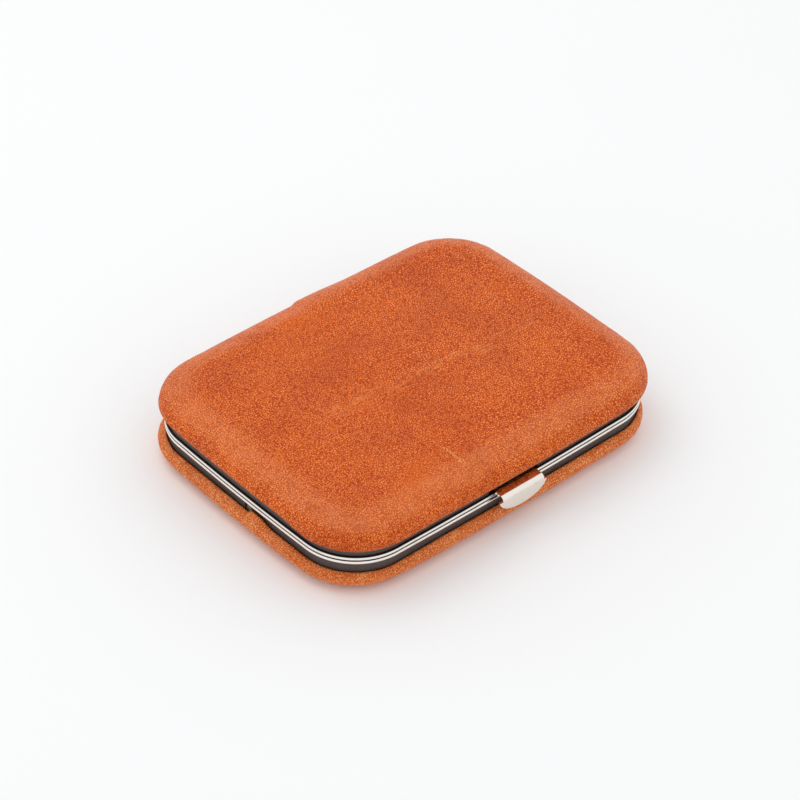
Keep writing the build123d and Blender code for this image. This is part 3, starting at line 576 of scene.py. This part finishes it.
def cover(half, finish):
    """Leather of one half: turned edge, full side, shoulder and face, with its folds."""
    depth, shoulder, inset, hem, belly = half.depth, half.shoulder, half.inset, half.hem, half.belly
    bm = bmesh.new()
    end = bm.verts.new((0, HALF_WIDTH - inset, belly - inset))
    end = bend(bm, end, (inset, belly), (belly - hem) / inset, 8)
    end = bend(bm, end, (shoulder, belly), (depth - belly) / shoulder, 20)
    carry(bm, end, [(shoulder + (PLATEAU - shoulder) * k / 5, depth) for k in range(1, 6)])
    sweep_round(bm, (64, 38, 38))
    close_middle(bm, depth, 20)
    bmesh.ops.recalc_face_normals(bm, faces=bm.faces)
    set_half(bm, half)
    bm.normal_update()
    seed = Vector((3.1, 8.4, 1.7)) if half is LID else Vector((9.2, 2.5, 6.3))
    moves = []
    for v in bm.verts:
        run, out = outline_place(v.co.x, v.co.y)
        marks = lid_marks(v.co) if half is LID else base_marks(v.co)
        foot = 1.0 if half is LID else ease(v.co.z, 0.15, 1.2)
        moves.append((v, v.normal * (folds(run, out, v.co, seed) * foot + marks)))
    for v, move in moves:
        v.co += move
    settle(bm, half)
    if half is BASE:
        reach_up(bm)
    thicken(bm, HIDE_THICK)
    lay_grain(bm)
    made = make_piece(half.name + "_cover", bm, half.name, finish, [half.name + "_leather"])


def pad(half, finish):
    """Thin foam between the stiff pan and the leather."""
    face, low = half.depth - HIDE_THICK - PAD_ROOM, half.belly + PAD_RISE
    bm = bmesh.new()
    end = bm.verts.new((0, HALF_WIDTH - PAD_INSET, low))
    end = bend(bm, end, (half.shoulder, low), (face - low) / (half.shoulder - PAD_INSET), 12)
    carry(bm, end, [(PLATEAU, face)])
    sweep_round(bm, (16, 14, 10))
    close_middle(bm, face, 6)
    thicken(bm, PAD_THICK)
    set_half(bm, half)
    made = make_piece(half.name + "_pad", bm, half.name, finish, [half.name + "_foam"])


# ------------------------------------------------------------------ linings
def lining(half, finish):
    """Suede covered pan with a sewn channel round its floor; the lid's has the clasp's window."""
    floor_level = half.depth - TRAY_FLOOR
    bm = bmesh.new()
    end = bm.verts.new((0, HALF_WIDTH - TRAY_WALL, RIM_FOOT))
    levels = [2.3, 3.2, WINDOW_TOP, floor_level - TRAY_ROUND]
    if half is LID:
        levels.insert(3, WINDOW_ROW)
    end = carry(bm, end, [(TRAY_WALL, level) for level in levels])
    end = bend(bm, end, (TRAY_WALL + TRAY_ROUND, floor_level - TRAY_ROUND), 1.0, 8)
    carry(bm, end, [(inset, floor_level + dip) for inset, dip in SEAM + [(11, 0), (PLATEAU, 0)]])
    sweep_round(bm, (24, 16, 14), WINDOW_HALF)
    close_middle(bm, floor_level, 10)
    if half is LID:
        middles = [(f, f.calc_center_median()) for f in bm.faces]
        opening = [f for f, spot in middles
                   if abs(spot.x) < WINDOW_HALF and spot.y < 0 and spot.z < WINDOW_TOP]
        bmesh.ops.delete(bm, geom=opening, context="FACES")
    thicken(bm, -SUEDE_THICK)
    bmesh.ops.recalc_face_normals(bm, faces=bm.faces)
    set_half(bm, half)
    make_piece(half.name + "_suede", bm, half.name, finish, [half.name + "_lining"])


def stitch(bm, place, length):
    """One sewn stitch lying along X at a place."""
    half_width, half_height = 0.2, 0.17
    size = Matrix.Diagonal((length / 2, half_width, half_height, 1))
    bmesh.ops.create_uvsphere(bm, u_segments=7, v_segments=5, radius=1, matrix=place @ size)


def floor_stitches(half, finish):
    """Row of stitches in the lining's sewn channel."""
    length, pitch, slant, lift = 1.5, 2.3, 0.14, 0.1
    level = PARTING + (1 if half is LID else -1) * (half.depth - TRAY_FLOOR + lift)
    count = round(QUARTER_RUN / pitch)
    bm = bmesh.new()
    for i in range(count):
        x, y, turn = outline_point((i + 0.5) * QUARTER_RUN / count, -SEAM_INSET)
        for sx, sy in ((1, 1), (1, -1), (-1, 1), (-1, -1)):
            lean = Matrix.Rotation(slant - turn * sx * sy, 4, "Z")
            stitch(bm, Matrix.Translation((x * sx, y * sy, level)) @ lean, length)
    make_piece(half.name + "_seam_stitches", bm, half.name, finish)


# ------------------------------------------------------------------ straps
STRAP_SHEET, STRAP_WIDTH, STRAP_ROOM, STRAP_FOOT = 0.8, 9.0, 0.35, 3.4
GLUE_GAP = 0.05
# how far a strap's leather keeps in from its edges, and how thick it is
STRAP_TRIM, STRAP_SKIN = 0.05, 0.72


def strap_path(humps, stand):
    """Points across the case that a strap's face passes, standing off the tools by an added amount."""
    level = TRAY_FLOOR + GLUE_GAP + stand
    path = [(humps[0][0] - STRAP_ROOM - STRAP_SHEET - STRAP_FOOT, level)]
    for near, far, height in humps:
        inner, outer, crown = near - STRAP_ROOM - stand, far + STRAP_ROOM + stand, height + STRAP_ROOM + stand
        path += [(inner, level), (inner, crown), (outer, crown), (outer, level)]
    path.append((humps[-1][1] + STRAP_ROOM + STRAP_SHEET + STRAP_FOOT, level))
    return path


def round_edges(bm, edges, offset, segments):
    """Rounds some edges of a strap."""
    bmesh.ops.bevel(bm, geom=edges, offset=offset, offset_type="OFFSET", segments=segments, profile=0.5,
                    affect="EDGES", material=-1, clamp_overlap=True)


def strap_leather_band(middle_x, humps):
    """Leather of a strap, moulded over the tools it holds."""
    stand, columns, fold_angle, rim_angle = 0.02, 8, 0.5, 1.2
    bm = bmesh.new()
    near = middle_x - STRAP_WIDTH / 2 + STRAP_TRIM
    points = [bm.verts.new((near, y, z)) for y, z in strap_path(humps, stand)]
    line = [bm.edges.new(pair) for pair in zip(points, points[1:])]
    for _ in range(columns):
        made = bmesh.ops.extrude_edge_only(bm, edges=line)["geom"]
        line = [g for g in made if isinstance(g, bmesh.types.BMEdge)]
        fresh = [g for g in made if isinstance(g, bmesh.types.BMVert)]
        bmesh.ops.translate(bm, vec=((STRAP_WIDTH - 2 * STRAP_TRIM) / columns, 0, 0), verts=fresh)
    folded = [e for e in bm.edges if len(e.link_faces) == 2 and e.calc_face_angle() > fold_angle]
    round_edges(bm, folded, 0.5, 4)
    bmesh.ops.recalc_face_normals(bm, faces=bm.faces)
    if max(bm.faces, key=lambda f: f.calc_center_median().z).normal.z < 0:
        bmesh.ops.reverse_faces(bm, faces=bm.faces)
    bmesh.ops.solidify(bm, geom=bm.faces[:], thickness=-STRAP_SKIN)
    bmesh.ops.recalc_face_normals(bm, faces=bm.faces)
    round_edges(bm, [e for e in bm.edges if e.calc_face_angle(0) > rim_angle], 0.14, 2)
    return bm


def strap_seams(middle_x, humps):
    """Row of stitches along each edge of a strap."""
    length, pitch, slant, sunk = 1.25, 1.9, 0.12, 0.04
    from_edge, end_room = 1.0, 0.9
    bm = bmesh.new()
    path = strap_path(humps, STRAP_SHEET - sunk)
    for (y0, z0), (y1, z1) in zip(path, path[1:]):
        span = hypot(y1 - y0, z1 - z0)
        count = floor((span - end_room) / pitch)
        lie = Matrix.Rotation(atan2(z1 - z0, y1 - y0), 4, "X") @ Matrix.Rotation(pi / 2 + slant, 4, "Z")
        for i in range(count):
            share = 0.5 + (i - (count - 1) / 2) * pitch / span
            spot = Vector((0, y0 + (y1 - y0) * share, z0 + (z1 - z0) * share))
            for side in (-1, 1):
                spot.x = middle_x + side * (STRAP_WIDTH / 2 - from_edge)
                stitch(bm, Matrix.Translation(spot) @ lie, length)
    return bm


def strap(half, middle_x, humps, leather, thread):
    """Strap in the base, or turned over into the lid; humps are each tool's near and far side and height."""
    band, sewn = strap_leather_band(middle_x, humps), strap_seams(middle_x, humps)
    for bm in (band, sewn):
        if half is LID:
            bmesh.ops.scale(bm, vec=(1, 1, -1), verts=bm.verts)
            bmesh.ops.reverse_faces(bm, faces=bm.faces)
            bmesh.ops.translate(bm, vec=(0, 0, LID.depth + BASE.depth), verts=bm.verts)
    make_piece(half.name + "_band", band, half.name, leather, [half.name + "_strap"])
    make_piece(half.name + "_band_stitches", sewn, half.name, thread)


# ------------------------------------------------------------------ floor, lights and camera
def aim_camera():
    """Long lens, tilted down at the front left corner."""
    tilt, turn, roll = radians(39.505), radians(42.533), radians(1.711)
    distance, aside, rise = 0.68974, -0.001103, 0.000898
    forward = Vector((cos(tilt) * sin(turn), cos(tilt) * cos(turn), -sin(tilt)))
    right = Vector((cos(turn), -sin(turn), 0))
    up = right.cross(forward)
    right, up = right * cos(roll) + up * sin(roll), up * cos(roll) - right * sin(roll)
    data = bpy.data.cameras.new("camera")
    data.sensor_width, data.lens = 36.0, 129.339
    data.clip_start, data.clip_end = 0.05, 20
    camera = bpy.data.objects.new("camera", data)
    bpy.context.scene.collection.objects.link(camera)
    place = Vector((0, 0, PARTING * MM)) - forward * distance + right * aside + up * rise
    camera.matrix_world = Matrix.Translation(place) @ Matrix((right, up, -forward)).transposed().to_4x4()
    bpy.context.scene.camera = camera


def lay_floor():
    """Large sheet of white paper that the case lies on."""
    made, shader, place = new_finish("white_paper")
    tooth = place.noise(1.5, 3, 0.6)
    cloud = place.noise(0.01, 2)
    paint = (tooth * 0.5 + cloud * 0.5).mix((0.918, 0.93, 0.935), (0.942, 0.952, 0.958))
    dress(shader, place, paint, 0.85 + tooth * 0.05, tooth, 0.02, 0.3, Specular_IOR_Level=0.1)
    half_size, below = 1.5, 0.00001    # in metres
    bm = bmesh.new()
    bmesh.ops.create_grid(bm, x_segments=4, y_segments=4, size=half_size)
    bmesh.ops.translate(bm, vec=(0, 0, -below), verts=bm.verts)
    mesh = bpy.data.meshes.new("paper_floor")
    bm.to_mesh(mesh)
    bm.free()
    mesh.materials.append(made)
    sheet = bpy.data.objects.new("paper_floor", mesh)
    bpy.context.scene.collection.objects.link(sheet)


def hang_light(name, place, size, watts, colour):
    """Square soft light aimed at the case."""
    data = bpy.data.lights.new(name, "AREA")
    data.size, data.energy, data.color = size, watts, colour
    lamp = bpy.data.objects.new(name, data)
    aim = (Vector((0, 0, 0.01)) - Vector(place)).to_track_quat("-Z", "Y")
    lamp.matrix_world = Matrix.Translation(place) @ aim.to_matrix().to_4x4()
    bpy.context.scene.collection.objects.link(lamp)


def light_studio():
    """White surroundings, with a large soft light high behind the case."""
    ambient = 0.93
    world = bpy.data.worlds.new("studio")
    bpy.context.scene.world = world
    world.use_nodes = True
    wire = Wire(world.node_tree)
    seen = wire.node("LightPath") + wire.node("LightPath", out=3) + wire.node("LightPath", out=6)
    strength = ambient + (1 - ambient) * seen.step(0.0, 0.1)
    background = world.node_tree.nodes["Background"]
    background.inputs["Color"].default_value = (1, 1, 1, 1)
    world.node_tree.links.new(strength.socket, background.inputs["Strength"])
    hang_light("window", (-0.15, 0.35, 0.8), 0.6, 1.05, (1.0, 0.99, 0.975))


# ------------------------------------------------------------------ the object
FINISHES = {
    bead_plate(): ["base_rim", "lid_rim"],
    bright_plate("nickel", rgb(240, 236, 230), rgb(168, 160, 150), 0.6): [
        "base_hinge_leaf", "lid_hinge_leaf", "hinge_pin", "clasp_rivets", "catch_rivets", "base_strap_studs",
        "lid_strap_studs"],
    bright_plate("clasp_plate", rgb(238, 232, 222), rgb(176, 166, 152), 0.5): ["clasp_tab"],
    gunmetal(): ["base_channel", "lid_channel"],
    brushed_steel("satin_steel", (0.56, 0.56, 0.57)): [
        "scissors_lower_half", "scissors_upper_half", "scissors_screw", "tweezers", "cuticle_pusher"],
    brushed_steel("file_steel", (0.5, 0.5, 0.51), crossed=True): ["nail_file"],
    brushed_steel("spring_steel", (0.34, 0.34, 0.36)): [
        "clasp_bracket", "clasp_spring", "clasp_pin", "catch_plate"],
    pressed_board(): ["base_shell", "lid_shell"],
    black_handle(): ["nail_file_handle"],
}
for finish, names in FINISHES.items():
    for name in names:
        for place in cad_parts[name].material_slots:
            place.material = finish

thread = waxed_thread()
nap = suede()
foam = pad_foam()
bridle = strap_leather()
hides = cognac_leather("base_leather", marked=False), cognac_leather("lid_leather", marked=True)
for half, hide in zip((BASE, LID), hides):
    cover(half, hide)
    pad(half, foam)
    lining(half, nap)
    floor_stitches(half, thread)
strap(BASE, 17.5, [(-14.2, -2.8, 6.85)], bridle, thread)
strap(LID, 14.0, [(-22, -16, 5.85), (-4, 4, 7.55), (17.2, 20.8, 7.35)], bridle, thread)

aim_camera()
lay_floor()
light_studio()
bpy.context.scene.view_settings.view_transform = "Standard"
